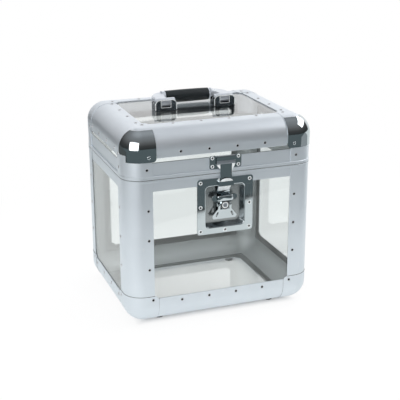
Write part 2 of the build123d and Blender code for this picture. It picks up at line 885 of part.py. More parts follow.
def handle_rod(centre_x, centre_y, radius, length):
    """Rod along X at the bail's height."""
    with BuildPart() as rod:
        with BuildSketch(Plane.YZ.offset(centre_x)):
            with Locations((centre_y, bail_axis_z)):
                Circle(radius)
        extrude(amount=length / 2, both=True)
    return rod.part


def handle_bracket(centre_x):
    """Arched housing, open at its top and back, with a window in front of the bail's barrel."""
    with BuildPart() as bracket:
        with BuildSketch(Plane.XZ.offset(-bracket_front)) as arch:
            with Locations((centre_x, top_z)):
                Rectangle(bracket_width, bracket_height, align=(Align.CENTER, Align.MIN))
            fillet(arch.vertices().group_by(Axis.Y)[-1], radius=bracket_corner_radius)
        extrude(amount=-bracket_depth)
        with BuildSketch(Plane.YZ.offset(centre_x)):
            with BuildLine():
                Line((bracket_front, top_z), (bracket_front, top_z + bracket_height))
                Line(
                    (bracket_front, top_z + bracket_height),
                    (bail_axis_y, top_z + bracket_height),
                )
                EllipticalCenterArc(
                    (bail_axis_y, top_z + bracket_back_height),
                    bracket_back - bail_axis_y,
                    bracket_height - bracket_back_height,
                    start_angle=0,
                    arc_size=90,
                )
                Line((bracket_back, top_z + bracket_back_height), (bracket_back, top_z))
                Line((bracket_back, top_z), (bracket_front, top_z))
            make_face()
        extrude(amount=bracket_width, both=True, mode=Mode.INTERSECT)
        with BuildSketch(Plane.XY.offset(top_z + bracket_sheet)):
            with Locations((centre_x, bracket_front + bracket_sheet)):
                Rectangle(
                    bracket_inner_width,
                    bracket_depth - 2 * bracket_sheet,
                    align=(Align.CENTER, Align.MIN),
                )
        extrude(amount=bracket_height, mode=Mode.SUBTRACT)
        with BuildSketch(Plane.XY.offset(top_z + bracket_back_height)):
            with Locations((centre_x, bracket_front + bracket_sheet)):
                Rectangle(bracket_inner_width, bracket_depth, align=(Align.CENTER, Align.MIN))
        extrude(amount=bracket_height, mode=Mode.SUBTRACT)
        with BuildSketch(Plane.XZ.offset(-bracket_front)):
            with Locations((centre_x, top_z + bracket_window_top)):
                Rectangle(
                    bracket_window_width, bracket_window_height, align=(Align.CENTER, Align.MAX)
                )
        extrude(amount=-bracket_sheet, mode=Mode.SUBTRACT)
        add(
            handle_rod(centre_x, bail_axis_y, bail_pin_radius + bail_pin_clearance, 2 * bracket_width),
            mode=Mode.SUBTRACT,
        )
    return bracket.part


def bail_arm(sign):
    """Curved flat arm from the barrel in a bracket to one end of the grip."""
    inner_x = sign * bail_arm_inner_x
    pivot_inner_x = sign * bail_arm_pivot_inner_x
    outer_x = sign * bail_arm_outer_x
    grip_back_y = grip_y + ferrule_radius
    grip_front_y = grip_y - ferrule_radius
    with BuildPart() as arm:
        with BuildSketch(Plane.XY.offset(bail_axis_z - bail_thickness / 2)):
            with BuildLine():
                Line((pivot_inner_x, bail_axis_y), (outer_x, bail_axis_y))
                Line((outer_x, bail_axis_y), (outer_x, bail_axis_y + bail_arm_straight))
                outer_curve = TangentArc(
                    (outer_x, bail_axis_y + bail_arm_straight),
                    (inner_x + sign * bail_arm_waist, grip_back_y),
                    tangent=(0, 1),
                )
                Line((inner_x + sign * bail_arm_waist, grip_back_y), (inner_x, grip_back_y))
                Line((inner_x, grip_back_y), (inner_x, grip_front_y))
                ThreePointArc(
                    (inner_x, grip_front_y),
                    (inner_x + sign * bail_arm_waist, (grip_front_y + bail_axis_y) / 2),
                    (pivot_inner_x, bail_axis_y),
                )
            make_face()
        extrude(amount=bail_thickness)
        curved_edges = arm.edges().filter_by(GeomType.CIRCLE)
        chamfer(curved_edges, length=bail_chamfer)
    return arm.part


for bracket_side, bracket_sign in (("left", -1), ("right", 1)):
    write_piece(handle_bracket(bracket_sign * bracket_x), f"handle_bracket_{bracket_side}")

barrel_length = bracket_inner_width - 2 * bail_side_gap
ferrule_inner_x = grip_length / 2 + ferrule_gap
with BuildPart() as bail:
    for arm_sign in (-1, 1):
        add(bail_arm(arm_sign))
        add(handle_rod(arm_sign * bracket_x, bail_axis_y, bail_barrel_radius, barrel_length))
        ferrule_length = bail_arm_inner_x + bail_arm_waist - ferrule_inner_x
        ferrule_centre = arm_sign * (ferrule_inner_x + ferrule_length / 2)
        add(handle_rod(ferrule_centre, grip_y, ferrule_radius, ferrule_length))
        add(
            handle_rod(
                arm_sign * bracket_x,
                bail_axis_y,
                bail_pin_radius + bail_pin_clearance,
                2 * bracket_width,
            ),
            mode=Mode.SUBTRACT,
        )
    add(handle_rod(0, grip_y, grip_core_radius, 2 * bail_arm_inner_x))
write_piece(bail.part, "handle_bail")

with BuildPart() as grip:
    with BuildSketch(Plane.XY.offset(bail_axis_z)):
        with BuildLine():
            grip_bore = grip_core_radius + grip_bore_clearance
            Line((-grip_length / 2, grip_y + grip_bore), (grip_length / 2, grip_y + grip_bore))
            Line(
                (grip_length / 2, grip_y + grip_bore),
                (grip_length / 2, grip_y + grip_radius - grip_crown),
            )
            ThreePointArc(
                (grip_length / 2, grip_y + grip_radius - grip_crown),
                (0, grip_y + grip_radius),
                (-grip_length / 2, grip_y + grip_radius - grip_crown),
            )
            Line(
                (-grip_length / 2, grip_y + grip_radius - grip_crown),
                (-grip_length / 2, grip_y + grip_bore),
            )
        make_face()
    revolve(axis=Axis((0, grip_y, bail_axis_z), (1, 0, 0)))
write_piece(grip.part, "handle_grip")

with BuildPart() as handle_pins:
    for pin_sign in (-1, 1):
        add(handle_rod(pin_sign * bracket_x, bail_axis_y, bail_pin_radius, bracket_width))
write_piece(handle_pins.part, "handle_pins")
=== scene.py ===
import json
import math

import bmesh
import bpy
from mathutils import Matrix, Vector


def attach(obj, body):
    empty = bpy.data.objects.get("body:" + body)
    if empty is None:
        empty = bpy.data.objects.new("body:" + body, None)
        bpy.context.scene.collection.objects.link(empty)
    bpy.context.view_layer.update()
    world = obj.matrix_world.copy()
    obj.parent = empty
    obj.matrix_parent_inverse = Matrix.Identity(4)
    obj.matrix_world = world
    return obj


# Record carrying case: finishes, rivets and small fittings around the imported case.
# Metres, +Z up, +Y to the back, in the same frame as the solids.

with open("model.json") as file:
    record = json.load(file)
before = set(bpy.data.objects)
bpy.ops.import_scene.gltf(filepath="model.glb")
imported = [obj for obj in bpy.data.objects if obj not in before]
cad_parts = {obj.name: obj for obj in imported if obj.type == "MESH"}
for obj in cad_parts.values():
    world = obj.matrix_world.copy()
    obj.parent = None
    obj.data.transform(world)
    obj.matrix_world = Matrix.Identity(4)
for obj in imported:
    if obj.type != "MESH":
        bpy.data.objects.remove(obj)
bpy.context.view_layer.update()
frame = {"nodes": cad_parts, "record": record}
bpy.context.scene.view_settings.view_transform = "Standard"

# Outer walls of the case, the rounding of its edges and the seam under the lid.
HALF_WIDTH, HALF_DEPTH = 0.1825, 0.146
CASE_BOTTOM, CASE_TOP = 0.006, 0.371
EDGE_RADIUS = 0.036
SEAM_HEIGHT = 0.2827

# Middle of the latch, how far its rim plate stands out, and the floor of its tray.
LATCH_X, LATCH_Z = 0.004, 0.2205
PLATE_FACE = 0.1456
TRAY_FLOOR = -0.1316

CAMERA_AIM = (0.00896, 0.0, 0.18337)
CAMERA_AZIMUTH, CAMERA_ELEVATION, CAMERA_ROLL = -20.23, 18.69, -0.13
CAMERA_DISTANCE = 1.8322
CAMERA_LENS, SENSOR_WIDTH = 83.79, 36.0

FRONT, BACK = Vector((0, -1, 0)), Vector((0, 1, 0))
LEFT, RIGHT = Vector((-1, 0, 0)), Vector((1, 0, 0))
TOP, UNDER = Vector((0, 0, 1)), Vector((0, 0, -1))


# ---- Small helpers ------------------------------------------------------------------------

def add_object(name, data):
    thing = bpy.data.objects.new(name, data)
    bpy.context.scene.collection.objects.link(thing)
    return thing


def opaque(colour):
    """A red, green and blue triple with full alpha; a socket passes through unchanged."""
    return (*colour, 1.0) if isinstance(colour, tuple) else colour


def feed(tree, socket, value):
    """Links another socket to this one, or sets it to a plain value."""
    if isinstance(value, bpy.types.NodeSocket):
        tree.links.new(value, socket)
    else:
        socket.default_value = value


def math_node(tree, operation, *values, clamp=False):
    node = tree.nodes.new("ShaderNodeMath")
    node.operation = operation
    node.use_clamp = clamp
    for socket, value in zip(node.inputs, values):
        feed(tree, socket, value)
    return node.outputs[0]


def vector_node(tree, operation, *values):
    node = tree.nodes.new("ShaderNodeVectorMath")
    node.operation = operation
    for socket, value in zip(node.inputs, values):
        feed(tree, socket, value)
    return node.outputs["Value" if operation in ("LENGTH", "DOT_PRODUCT") else "Vector"]


def mix_colour(tree, factor, first, second):
    node = tree.nodes.new("ShaderNodeMix")
    node.data_type = "RGBA"
    for index, value in ((0, factor), (6, opaque(first)), (7, opaque(second))):
        feed(tree, node.inputs[index], value)
    return node.outputs[2]


def map_range(tree, value, source, target=(0.0, 1.0)):
    """Stretches a value from one range to another and holds it at the ends."""
    node = tree.nodes.new("ShaderNodeMapRange")
    for label, number in zip(("From Min", "From Max", "To Min", "To Max"), (*source, *target)):
        node.inputs[label].default_value = number
    tree.links.new(value, node.inputs["Value"])
    return node.outputs["Result"]


def noise_node(tree, vector, scale, detail, roughness=0.5):
    node = tree.nodes.new("ShaderNodeTexNoise")
    node.inputs["Detail"].default_value = detail
    node.inputs["Roughness"].default_value = roughness
    feed(tree, node.inputs["Scale"], scale)
    tree.links.new(vector, node.inputs["Vector"])
    return node.outputs["Fac"]


def stretched(tree, vector, scale):
    node = tree.nodes.new("ShaderNodeMapping")
    node.inputs["Scale"].default_value = scale
    tree.links.new(vector, node.inputs["Vector"])
    return node.outputs["Vector"]


def axes_of(tree, vector):
    """The X, Y and Z of a vector."""
    split = tree.nodes.new("ShaderNodeSeparateXYZ")
    tree.links.new(vector, split.inputs[0])
    return split.outputs


def place_on(tree, kind="Object"):
    return tree.nodes.new("ShaderNodeTexCoord").outputs[kind]


# ---- Camera and studio --------------------------------------------------------------------

def direction(azimuth, elevation):
    """Unit vector away from the case; in degrees, azimuth 0 is its front and 90 its right."""
    turn, rise = math.radians(azimuth), math.radians(elevation)
    return Vector((
        math.sin(turn) * math.cos(rise),
        -math.cos(turn) * math.cos(rise),
        math.sin(rise),
    ))


def add_camera():
    data = bpy.data.cameras.new("camera")
    data.lens = CAMERA_LENS
    data.sensor_width = SENSOR_WIDTH
    data.clip_end = 100.0
    camera = add_object("camera", data)
    aim = Vector(CAMERA_AIM)
    stand = aim + direction(CAMERA_AZIMUTH, CAMERA_ELEVATION) * CAMERA_DISTANCE
    turn = (aim - stand).to_track_quat("-Z", "Y").to_matrix().to_4x4()
    roll = Matrix.Rotation(math.radians(CAMERA_ROLL), 4, "Z")
    camera.matrix_world = Matrix.Translation(stand) @ turn @ roll
    bpy.context.scene.camera = camera


def softbox(name, place, aim, width, height, power):
    data = bpy.data.lights.new(name, "AREA")
    data.shape = "RECTANGLE"
    data.size, data.size_y = width, height
    data.energy = power
    lamp = add_object(name, data)
    lamp.location = place
    lamp.rotation_euler = (Vector(aim) - Vector(place)).to_track_quat("-Z", "Y").to_euler()
    return lamp


def plane_piece(name, across, away, z, material):
    """Flat stage piece; across and away are ranges along the camera's right and its way back."""
    turn = math.radians(CAMERA_AZIMUTH)
    right = Vector((math.cos(turn), math.sin(turn), 0))
    back = Vector((-math.sin(turn), math.cos(turn), 0))
    (left_end, right_end), (near, far) = across, away
    corners = [
        right * a + back * b + Vector((0, 0, z))
        for a, b in ((left_end, near), (right_end, near), (right_end, far), (left_end, far))
    ]
    mesh = bpy.data.meshes.new(name)
    mesh.from_pydata(corners, [], [(0, 1, 2, 3)])
    piece = add_object(name, mesh)
    mesh.materials.append(material)
    return piece


def new_material(name):
    material = bpy.data.materials.new(name)
    material.use_nodes = True
    tree = material.node_tree
    tree.nodes.clear()
    output = tree.nodes.new("ShaderNodeOutputMaterial")
    return material, tree, output


def floor_material():
    """Floor that shows plain white around the case and keeps the case's shadow under it."""
    white, white_in_metal, board = (1.0, 1.0, 1.0), (0.885, 0.925, 0.918), (0.93, 0.93, 0.93)
    shadow_width, shadow_depth = 0.17, 0.135
    shadow_rim, shadow_to_white = (0.78, 0.96), (0.1, 0.9)
    far_off, last_step = (1.6, 5.0), (0.0, 0.1)
    material, tree, output = new_material("white_floor")
    nodes, links = tree.nodes, tree.links
    diffuse = nodes.new("ShaderNodeBsdfDiffuse")
    diffuse.inputs["Color"].default_value = opaque(board)
    glow = nodes.new("ShaderNodeEmission")
    path = nodes.new("ShaderNodeLightPath").outputs
    tint = mix_colour(tree, path["Is Glossy Ray"], white, white_in_metal)
    links.new(tint, glow.inputs["Color"])
    seen = math_node(tree, "MAXIMUM", path["Is Camera Ray"], path["Is Glossy Ray"])
    seen = math_node(tree, "MAXIMUM", seen, path["Is Transmission Ray"])
    spot = axes_of(tree, place_on(tree))
    across = math_node(tree, "DIVIDE", math_node(tree, "ABSOLUTE", spot["X"]), shadow_width)
    deep = math_node(tree, "DIVIDE", math_node(tree, "ABSOLUTE", spot["Y"]), shadow_depth)
    spread = math_node(tree, "MAXIMUM", across, deep)
    beside = map_range(tree, spread, shadow_rim, shadow_to_white)
    beyond = map_range(tree, spread, far_off, last_step)
    mix = nodes.new("ShaderNodeMixShader")
    plain = math_node(tree, "ADD", beside, beyond)
    links.new(math_node(tree, "MULTIPLY", seen, plain), mix.inputs["Fac"])
    links.new(diffuse.outputs[0], mix.inputs[1])
    links.new(glow.outputs[0], mix.inputs[2])
    links.new(mix.outputs[0], output.inputs["Surface"])
    return material


def card_material(name, colour):
    material, tree, output = new_material(name)
    glow = tree.nodes.new("ShaderNodeEmission")
    glow.inputs["Color"].default_value = opaque(colour)
    tree.links.new(glow.outputs[0], output.inputs["Surface"])
    return material


def reflected_card(name, across, away, colour):
    """Card beside the table that only mirror-like surfaces see."""
    card_height = 0.002
    card = plane_piece(name, across, away, card_height, card_material(name, colour))
    card.visible_camera = card.visible_diffuse = False
    card.visible_transmission = card.visible_shadow = False


def build_world():
    """Room around the table: dark at eye level, a grey ceiling and a white backdrop behind."""
    room_tones = (
        (0.0, (0.040, 0.045, 0.045)),
        (0.26, (0.07, 0.07, 0.07)),
        (0.5, (0.15, 0.15, 0.15)),
        (0.87, (0.29, 0.30, 0.31)),
        (1.0, (0.46, 0.48, 0.50)),
    )
    backdrop_way, backdrop_rim = (0.4226, 0.9063, 0.0), (0.60, 0.80)
    backdrop, white = (0.95, 0.97, 1.0), (1.0, 1.0, 1.0)
    world = bpy.data.worlds.new("studio")
    bpy.context.scene.world = world
    world.use_nodes = True
    tree = world.node_tree
    tree.nodes.clear()
    output = tree.nodes.new("ShaderNodeOutputWorld")
    sky = tree.nodes.new("ShaderNodeBackground")
    way = place_on(tree, "Generated")
    room = tree.nodes.new("ShaderNodeValToRGB")
    ramp = room.color_ramp.elements
    for element, (height, tone) in zip(ramp, (room_tones[0], room_tones[-1])):
        element.position, element.color = height, opaque(tone)
    for height, tone in room_tones[1:-1]:
        ramp.new(height).color = opaque(tone)
    tree.links.new(axes_of(tree, way)["Z"], room.inputs["Fac"])
    behind = vector_node(tree, "DOT_PRODUCT", way, backdrop_way)
    sheet = map_range(tree, behind, backdrop_rim)
    lit = mix_colour(tree, sheet, room.outputs["Color"], backdrop)
    path = tree.nodes.new("ShaderNodeLightPath").outputs
    straight = math_node(tree, "MAXIMUM", path["Is Camera Ray"], path["Is Transmission Ray"])
    mirrored = math_node(tree, "MULTIPLY", path["Is Glossy Ray"], sheet)
    shown_white = math_node(tree, "MAXIMUM", straight, mirrored)
    tree.links.new(mix_colour(tree, shown_white, lit, white), sky.inputs["Color"])
    tree.links.new(sky.outputs[0], output.inputs["Surface"])


def build_studio():
    wall_to_wall, room_front, room_back = (-12, 12), -9, 14
    edge_near, edge_far = -0.625, -0.604
    plane_piece("studio_floor", wall_to_wall, (room_front, room_back), 0.0, floor_material())
    for name, across, away, colour in (
        ("front_card", wall_to_wall, (room_front, edge_near), (0.118, 0.146, 0.152)),
        ("table_edge", wall_to_wall, (edge_near, edge_far), (0.004, 0.004, 0.004)),
        ("left_card", (-12, -0.95), (edge_far, 9), (0.10, 0.11, 0.11)),
        ("right_card", (0.75, 12), (edge_far, 0.45), (0.36, 0.39, 0.40)),
    ):
        reflected_card(name, across, away, colour)
    overhead = softbox(
        "overhead_softbox", (0.0, 0.1, 2.6), aim=(0, 0, 0.2), width=3.2, height=3.2, power=61
    )
    overhead.visible_glossy = False
    for name, side, azimuth, elevation, distance, width, height, power in (
        ("left_softbox", -1, -42, 16.5, 1.6, 1.5, 1.26, 17),
        ("right_softbox", 1, 86, 41, 2.3, 2.4, 1.2, 24),
    ):
        lid_corner = Vector((side * 0.13, -0.10, 0.32))
        place = lid_corner + direction(azimuth, elevation) * distance
        softbox(name, place, lid_corner, width, height, power)
    build_world()


# ---- Shared surface effects ---------------------------------------------------------------

def group_tree(name, sizes, masks):
    """A shader node group that takes a place and sizes and puts out masks."""
    tree = bpy.data.node_groups.new(name, "ShaderNodeTree")
    face = tree.interface
    face.new_socket("Place", in_out="INPUT", socket_type="NodeSocketVector")
    for label, size in sizes:
        socket = face.new_socket(label, in_out="INPUT", socket_type="NodeSocketFloat")
        socket.default_value = size
    for label in masks:
        face.new_socket(label, in_out="OUTPUT", socket_type="NodeSocketFloat")
    start, end = tree.nodes.new("NodeGroupInput"), tree.nodes.new("NodeGroupOutput")
    return tree, start.outputs, end.inputs


def handling_wear():
    """Smudges, hairline scratches and dulled spots that turn up on every finish of the case."""
    tree, start, end = group_tree(
        "handling_wear",
        (("Smudge Size", 14.0), ("Scratch Amount", 0.5)),
        ("Smudge", "Scratch", "Speck"),
    )
    thickest, softness, contrast, clean_share = 0.68, 0.1, 2.2, -0.6
    streak_size, hairline = 9.0, 0.735
    speck_size, spot_edge = 420.0, 0.74
    fine = {"detail": 1.0, "roughness": 0.55}
    place = start["Place"]
    cloud = noise_node(tree, place, start["Smudge Size"], detail=4.0)
    capped = math_node(tree, "SMOOTH_MIN", cloud, thickest, softness)
    smudge = math_node(tree, "MULTIPLY_ADD", capped, contrast, clean_share, clamp=True)
    tree.links.new(smudge, end["Smudge"])
    lines = None
    for stretch in ((1, 22, 90), (160, 3, 2), (9, 110, 6)):
        streak = noise_node(tree, stretched(tree, place, stretch), streak_size, **fine)
        line = math_node(tree, "GREATER_THAN", streak, hairline)
        lines = line if lines is None else math_node(tree, "MAXIMUM", lines, line)
    tree.links.new(math_node(tree, "MULTIPLY", lines, start["Scratch Amount"]), end["Scratch"])
    speck = noise_node(tree, place, speck_size, **fine)
    tree.links.new(math_node(tree, "GREATER_THAN", speck, spot_edge), end["Speck"])
    return tree


def fine_grain():
    """Fine grain of a blasted, anodised or moulded surface, as a height and a tone."""
    tree, start, end = group_tree(
        "fine_grain", (("Grain Size", 2600.0), ("Cloud Size", 22.0)), ("Height", "Tone")
    )
    place = start["Place"]
    tree.links.new(noise_node(tree, place, start["Grain Size"], detail=2.0), end["Height"])
    tree.links.new(noise_node(tree, place, start["Cloud Size"], detail=3.0), end["Tone"])
    return tree


WEAR = handling_wear()
GRAIN = fine_grain()


def place_group(tree, group, vector, sizes):
    node = tree.nodes.new("ShaderNodeGroup")
    node.node_tree = group
    tree.links.new(vector, node.inputs["Place"])
    for label, value in sizes.items():
        node.inputs[label].default_value = value
    return node.outputs


class Finish:
    """A material under way: one Principled shader with the shared wear and grain beside it."""

    def __init__(
        self, name, metallic, smudge_size, scratch_amount, grain_size=None, cloud_size=None
    ):
        self.material, self.tree, self.output = new_material(name)
        self.shader = self.tree.nodes.new("ShaderNodeBsdfPrincipled")
        self.shader.inputs["Metallic"].default_value = metallic
        self.tree.links.new(self.shader.outputs[0], self.output.inputs["Surface"])
        self.place = place_on(self.tree)
        wear_sizes = {"Smudge Size": smudge_size, "Scratch Amount": scratch_amount}
        self.wear = place_group(self.tree, WEAR, self.place, wear_sizes)
        if grain_size:
            grain_sizes = {"Grain Size": grain_size, "Cloud Size": cloud_size}
            self.grain = place_group(self.tree, GRAIN, self.place, grain_sizes)

    def lay(self, label, value):
        self.tree.links.new(value, self.shader.inputs[label])

    def tone(self, dark, light):
        """Colour that drifts between two tones with the grain."""
        return mix_colour(self.tree, self.grain["Tone"], dark, light)

    def touched(self, colour, mask, touch, amount):
        """Colour with some of another one where a mask of the wear says so."""
        share = math_node(self.tree, "MULTIPLY", self.wear[mask], amount)
        return mix_colour(self.tree, share, colour, touch)

    def roughness(self, plain, smudged, scratched=None):
        """Plain roughness, and what full smudges and scratches add to it."""
        rough = math_node(self.tree, "MULTIPLY_ADD", self.wear["Smudge"], smudged, plain)
        if scratched is None:
            return rough
        return math_node(self.tree, "MULTIPLY_ADD", self.wear["Scratch"], scratched, rough)

    def scratched_grain(self):
        return math_node(self.tree, "SUBTRACT", self.grain["Height"], self.wear["Scratch"])

    def relief(self, height, strength, distance):
        node = self.tree.nodes.new("ShaderNodeBump")
        node.inputs["Strength"].default_value = strength
        node.inputs["Distance"].default_value = distance
        self.tree.links.new(height, node.inputs["Height"])
        self.lay("Normal", node.outputs["Normal"])


# ---- Finishes -----------------------------------------------------------------------------

def inner_side(tree, place, depth):
    """Mask of inner faces: points that lie deeper than this inside the case's rounded outline."""
    soft_rim = 0.0003
    rise = (CASE_TOP - CASE_BOTTOM) / 2
    centred = vector_node(tree, "SUBTRACT", place, (0.0, 0.0, CASE_BOTTOM + rise))
    core = (HALF_WIDTH - EDGE_RADIUS, HALF_DEPTH - EDGE_RADIUS, rise - EDGE_RADIUS)
    past_core = vector_node(tree, "SUBTRACT", vector_node(tree, "ABSOLUTE", centred), core)
    outward = vector_node(tree, "MAXIMUM", past_core, (0.0, 0.0, 0.0))
    reach = vector_node(tree, "LENGTH", outward)
    limit = EDGE_RADIUS - depth
    return map_range(tree, reach, (limit - soft_rim, limit + soft_rim), (1.0, 0.0))


def anodised_aluminium(name, wall):
    """Satin profile whose inner faces, deeper than its wall, are rougher and carry a painted shade.
    """
    dark, light = (0.715, 0.762, 0.815), (0.785, 0.832, 0.885)
    scratch, scratch_polish = (0.9, 0.9, 0.92), 0.12
    # inner is a painted shade: its darker grey stands in for the shade that falls on the unlit
    # inner faces.
    inner, inner_dulling = (0.38, 0.41, 0.415), 0.15
    finish = Finish(
        name, metallic=0.8, smudge_size=16.0, scratch_amount=0.35,
        grain_size=2600.0, cloud_size=18.0,
    )
    inside = inner_side(finish.tree, finish.place, wall)
    colour = finish.touched(finish.tone(dark, light), "Scratch", scratch, amount=0.5)
    finish.lay("Base Color", mix_colour(finish.tree, inside, colour, inner))
    rough = finish.roughness(0.375, smudged=0.07)
    rough = math_node(finish.tree, "MULTIPLY_ADD", inside, inner_dulling, rough)
    polish = math_node(finish.tree, "MULTIPLY", finish.wear["Scratch"], scratch_polish)
    finish.lay("Roughness", math_node(finish.tree, "SUBTRACT", rough, polish))
    finish.relief(finish.scratched_grain(), strength=0.18, distance=0.00008)
    return finish.material


def polished_chrome(name, brushed_floor=None):
    """Bright chrome; a pressing with a brushed floor is dull at that depth and behind it."""
    dark, light, dull_spot = (0.57, 0.615, 0.64), (0.63, 0.675, 0.70), (0.45, 0.45, 0.44)
    finish = Finish(
        name, metallic=1.0, smudge_size=38.0, scratch_amount=0.6,
        grain_size=900.0, cloud_size=45.0,
    )
    colour = finish.touched(finish.tone(dark, light), "Speck", dull_spot, amount=0.35)
    rough = finish.roughness(0.03, smudged=0.05, scratched=0.12)
    if brushed_floor is not None:
        brushed, brushed_rough = (0.43, 0.445, 0.45), (0.25, 0.25, 0.25)
        rim_front, rim_back = brushed_floor - 0.0020, brushed_floor - 0.0005
        depth = axes_of(finish.tree, finish.place)["Y"]
        floor = map_range(finish.tree, depth, (rim_front, rim_back))
        colour = mix_colour(finish.tree, floor, colour, brushed)
        rough = mix_colour(finish.tree, floor, rough, brushed_rough)
    finish.lay("Base Color", colour)
    finish.lay("Roughness", rough)
    finish.relief(finish.grain["Tone"], strength=0.05, distance=0.0004)
    return finish.material


def clear_acrylic():
    """Clear sheet with faint smudges that lets light through to what stands behind it."""
    clean, smudged = (0.950, 0.957, 0.957), (0.925, 0.935, 0.935)
    shadow_tint, acrylic_ior = (0.93, 0.94, 0.935), 1.49
    finish = Finish("clear_acrylic", metallic=0.0, smudge_size=11.0, scratch_amount=0.5)
    finish.shader.inputs["IOR"].default_value = acrylic_ior
    finish.shader.inputs["Transmission Weight"].default_value = 1.0
    finish.lay("Base Color", finish.touched(clean, "Smudge", smudged, amount=0.5))
    finish.lay("Roughness", finish.roughness(0.008, smudged=0.02, scratched=0.10))
    nodes, links = finish.tree.nodes, finish.tree.links
    passing = nodes.new("ShaderNodeBsdfTransparent")
    passing.inputs["Color"].default_value = opaque(shadow_tint)
    mix = nodes.new("ShaderNodeMixShader")
    links.new(nodes.new("ShaderNodeLightPath").outputs["Is Shadow Ray"], mix.inputs["Fac"])
    links.new(finish.shader.outputs[0], mix.inputs[1])
    links.new(passing.outputs[0], mix.inputs[2])
    links.new(mix.outputs[0], finish.output.inputs["Surface"])
    return finish.material


def satin_metal(name, metallic, dark, light, roughness):
    finish = Finish(
        name, metallic=metallic, smudge_size=50.0, scratch_amount=0.5,
        grain_size=1900.0, cloud_size=60.0,
    )
    finish.lay("Base Color", finish.tone(dark, light))
    finish.lay("Roughness", finish.roughness(roughness, smudged=0.10))
    finish.relief(finish.scratched_grain(), strength=0.15, distance=0.0001)
    return finish.material


def plated_steel(name, dark, light, roughness):
    finish = Finish(
        name, metallic=1.0, smudge_size=80.0, scratch_amount=0.4,
        grain_size=1400.0, cloud_size=120.0,
    )
    finish.lay("Base Color", finish.tone(dark, light))
    finish.lay("Roughness", finish.roughness(roughness, smudged=0.12))
    finish.relief(finish.grain["Height"], strength=0.15, distance=0.0001)
    return finish.material


def black_grip():
    """Moulded grip with a fine leather-like cell pattern."""
    dark, light, dust = (0.004, 0.0065, 0.008), (0.011, 0.016, 0.019), (0.12, 0.12, 0.12)
    cell_scale = 620.0
    finish = Finish(
        "black_grip", metallic=0.0, smudge_size=40.0, scratch_amount=0.4,
        grain_size=1500.0, cloud_size=60.0,
    )
    finish.lay("Base Color", finish.touched(finish.tone(dark, light), "Speck", dust, amount=0.25))
    finish.lay("Roughness", finish.roughness(0.36, smudged=0.14))
    cells = finish.tree.nodes.new("ShaderNodeTexVoronoi")
    cells.inputs["Scale"].default_value = cell_scale
    finish.tree.links.new(finish.place, cells.inputs["Vector"])
    height = math_node(finish.tree, "ADD", cells.outputs["Distance"], finish.grain["Height"])
    finish.relief(height, strength=0.35, distance=0.0003)
    return finish.material


def foot_rubber():
    dark, light = (0.018, 0.018, 0.018), (0.045, 0.044, 0.042)
    finish = Finish(
        "foot_rubber", metallic=0.0, smudge_size=60.0, scratch_amount=0.3,
        grain_size=1800.0, cloud_size=90.0,
    )
    finish.lay("Base Color", finish.tone(dark, light))
    finish.lay("Roughness", finish.roughness(0.62, smudged=0.15))
    finish.relief(finish.grain["Height"], strength=0.3, distance=0.0002)
    return finish.material


add_camera()
build_studio()

# The closure frames and the lid's profiles keep their outer finish down to the deeper wall, below
# which their inner faces carry the painted shade.
ALUMINIUM = anodised_aluminium("anodised_aluminium", wall=0.0009)
CLOSURE_ALUMINIUM = anodised_aluminium("closure_aluminium", wall=0.0045)
CHROME = polished_chrome("polished_chrome")
DISH_CHROME = polished_chrome("dish_chrome", brushed_floor=TRAY_FLOOR)
# The bracket's near-black base colour is a painted reflection of the dark room in its chrome face.
BRACKET_CHROME_PAINTED_REFLECTION = plated_steel(
    "bracket_chrome_painted_reflection", dark=(0.09, 0.105, 0.12), light=(0.13, 0.15, 0.165), roughness=0.05
)
ACRYLIC = clear_acrylic()
SATIN = satin_metal(
    "satin_silver", metallic=0.65,
    dark=(0.60, 0.635, 0.69), light=(0.70, 0.735, 0.79), roughness=0.26,
)
# Dark steel of the hook's lip and the hub's screw: its darkness is painted, a dark reflection on
# the band under the hook's head and shade in the slot of the screw.
STEEL_WITH_PAINTED_SHADE = satin_metal(
    "steel_with_painted_shade", metallic=0.6,
    dark=(0.20, 0.22, 0.25), light=(0.26, 0.285, 0.31), roughness=0.30,
)
# Bright satin of the latch and keeper rivets and the hub's washer; the same colour paints the
# highlights on the hood, the hook's shoulders and arm and the bracket edges.
BRIGHT_SATIN_AND_HIGHLIGHT = satin_metal(
    "bright_satin_and_highlight", metallic=0.3,
    dark=(0.84, 0.87, 0.88), light=(0.90, 0.93, 0.94), roughness=0.22,
)
GRIP = black_grip()
# Rubber of the feet; its dark colour also paints the shadow lines in the seams and joints and the
# shadow ring round the hub.
RUBBER_AND_PAINTED_SHADOW = foot_rubber()
PIN_STEEL = plated_steel(
    "pin_steel", dark=(0.5, 0.5, 0.52), light=(0.62, 0.63, 0.64), roughness=0.22
)
# Near-black colour of the rivets' mandrel stubs: painted shade in the hollow of each rivet head.
MANDREL_PAINTED_SHADE = plated_steel(
    "mandrel_painted_shade", dark=(0.005, 0.005, 0.008), light=(0.014, 0.014, 0.018), roughness=0.5
)
RIVET_ALUMINIUM = plated_steel(
    "rivet_aluminium", dark=(0.68, 0.69, 0.71), light=(0.80, 0.80, 0.82), roughness=0.3
)

SLOT_FINISH = {
    "frame_aluminium": ALUMINIUM,
    "latch_chrome": CHROME,
    "clear_acrylic": ACRYLIC,
    "grip_black": GRIP,
    "foot_rubber": RUBBER_AND_PAINTED_SHADOW,
    "pin_steel": PIN_STEEL,
}
NODE_FINISH = {
    "body_closure_frame": CLOSURE_ALUMINIUM,
    "lid_closure_frame": CLOSURE_ALUMINIUM,
    "latch_dish": DISH_CHROME,
    "latch_hub_screw": STEEL_WITH_PAINTED_SHADE,
    "handle_bail": SATIN,
    "handle_bracket_left": BRACKET_CHROME_PAINTED_REFLECTION,
    "handle_bracket_right": BRACKET_CHROME_PAINTED_REFLECTION,
}


